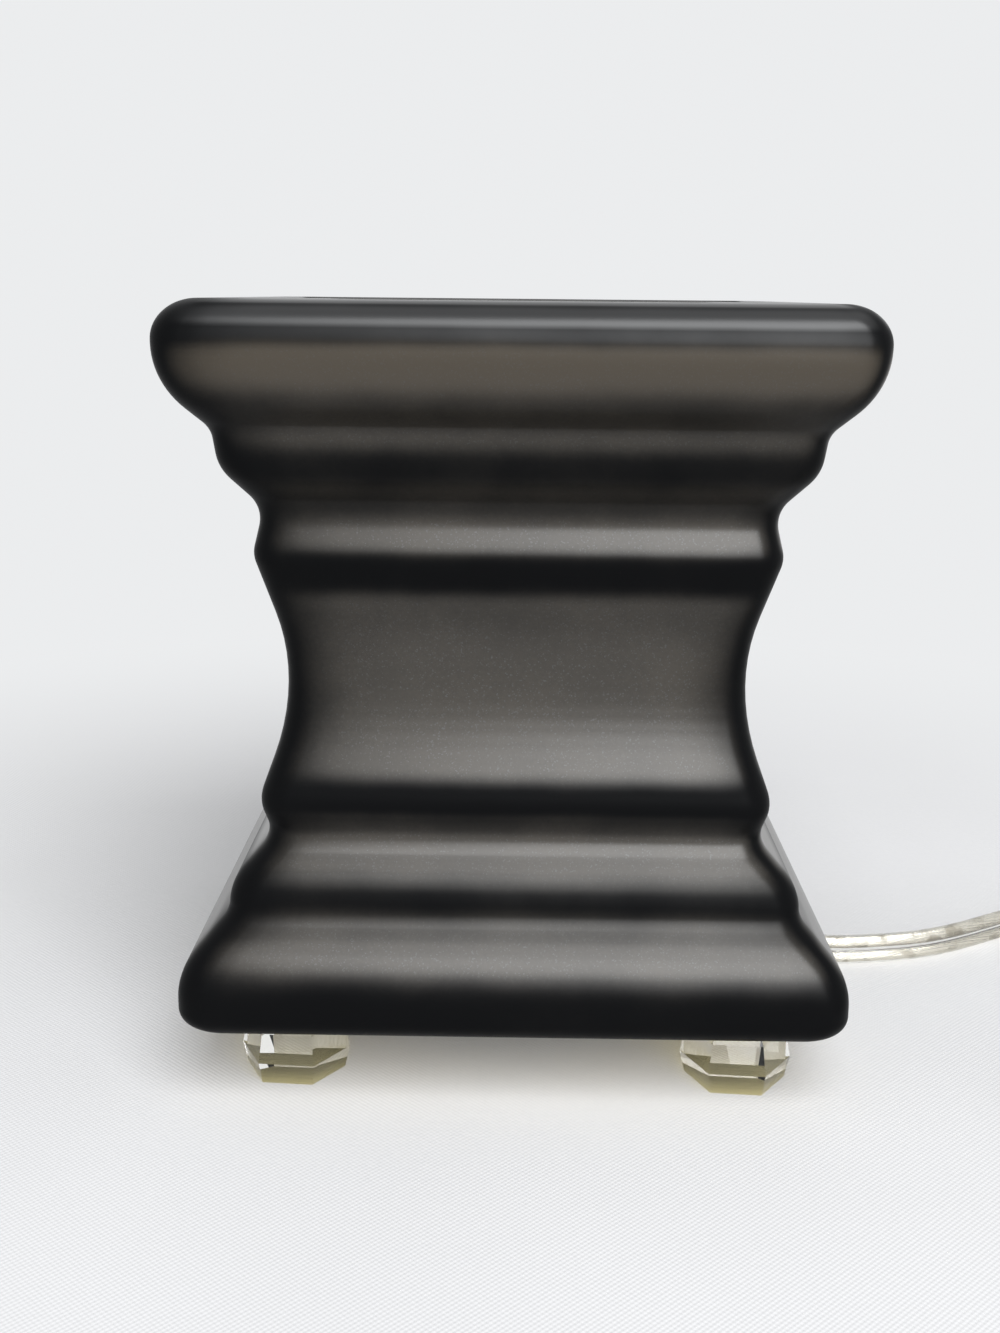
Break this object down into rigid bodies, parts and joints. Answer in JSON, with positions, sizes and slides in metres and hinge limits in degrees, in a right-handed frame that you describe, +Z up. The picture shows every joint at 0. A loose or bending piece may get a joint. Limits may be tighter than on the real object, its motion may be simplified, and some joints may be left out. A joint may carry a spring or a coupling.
{
  "type": "wax warmer",
  "caption": "Square hourglass ceramic wax warmer with a lift-out dish over a globe bulb, on clear faceted feet, with a flat lead, an inline switch and a plug.",
  "frame": {"origin": "on the table under the middle of the body", "axes": "+Z up, the front faces -Y, the lead leaves towards +X"},
  "size_m": [0.3407, 0.1527, 0.1504],
  "materials": {
    "bronze_glaze": "satin bronze airbrushed to black, fine sparkle",
    "dish_glaze": "satin dark glaze",
    "crystal": "clear faceted",
    "glue": "clear amber adhesive",
    "plated_steel": "plated",
    "zinc": "zinc plated",
    "nylon": "moulded nylon",
    "phenolic": "moulded phenolic",
    "brass": "bright",
    "clear_glass": "clear blown glass",
    "black_glass": "fused black glass",
    "tungsten": "drawn wire",
    "black_rubber": "moulded soft vinyl",
    "black_wire": "wire cover",
    "white_wire": "wire cover",
    "clear_cord": "clear cover over bright strands"
  },
  "bodies": {
    "housing": {"body_shell": "bronze_glaze", "base_plate": "plated_steel", "socket_strap": "plated_steel", "socket_screw": "zinc", "lamp_socket": "phenolic", "socket_sleeve": "brass", "socket_contact": "brass", "lead_bushing": "black_rubber", "inner_lead_live": "black_wire", "inner_lead_neutral": "white_wire", "cord_lead": "clear_cord", "cord_run": "clear_cord", "cord_coil": "clear_cord", "cord_tail": "clear_cord", "switch_lower": "phenolic", "switch_upper": "phenolic", "switch_pin": "zinc", "switch_screw": "zinc", "plug_body": "black_rubber", "plug_blade_1": "brass", "plug_blade_2": "brass", "foot_front_left": "crystal", "foot_glue_front_left": "glue", "foot_front_right": "crystal", "foot_glue_front_right": "glue", "foot_rear_left": "crystal", "foot_glue_rear_left": "glue", "foot_rear_right": "crystal", "foot_glue_rear_right": "glue", "base_screw_1": "zinc", "screw_anchor_1": "nylon", "base_screw_2": "zinc", "screw_anchor_2": "nylon", "base_screw_3": "zinc", "screw_anchor_3": "nylon", "strap_rivet_1": "zinc", "strap_rivet_2": "zinc"},
    "dish": {"wax_dish": "dish_glaze"},
    "bulb": {"bulb_tip": "brass", "bulb_insulator": "black_glass", "bulb_cap": "brass", "bulb_glass": "clear_glass", "bulb_stem": "clear_glass", "bulb_wire_1": "tungsten", "bulb_wire_2": "tungsten", "bulb_filament": "tungsten"},
    "wheel": {"switch_wheel": "phenolic"}
  },
  "joints": [
    {"name": "dish_lift", "type": "slide", "parent": "housing", "child": "dish", "axis": [0, 0, 1], "range_m": [0, 0.06]},
    {"name": "bulb_lift", "type": "slide", "parent": "housing", "child": "bulb", "axis": [0, 0, 1], "range_m": [0, 0.018]},
    {"name": "switch_turn", "type": "hinge", "parent": "housing", "child": "wheel", "pos_m": [0.2662, -0.016, 0.0088], "axis": [0, 0, 1], "continuous": true}
  ]
}
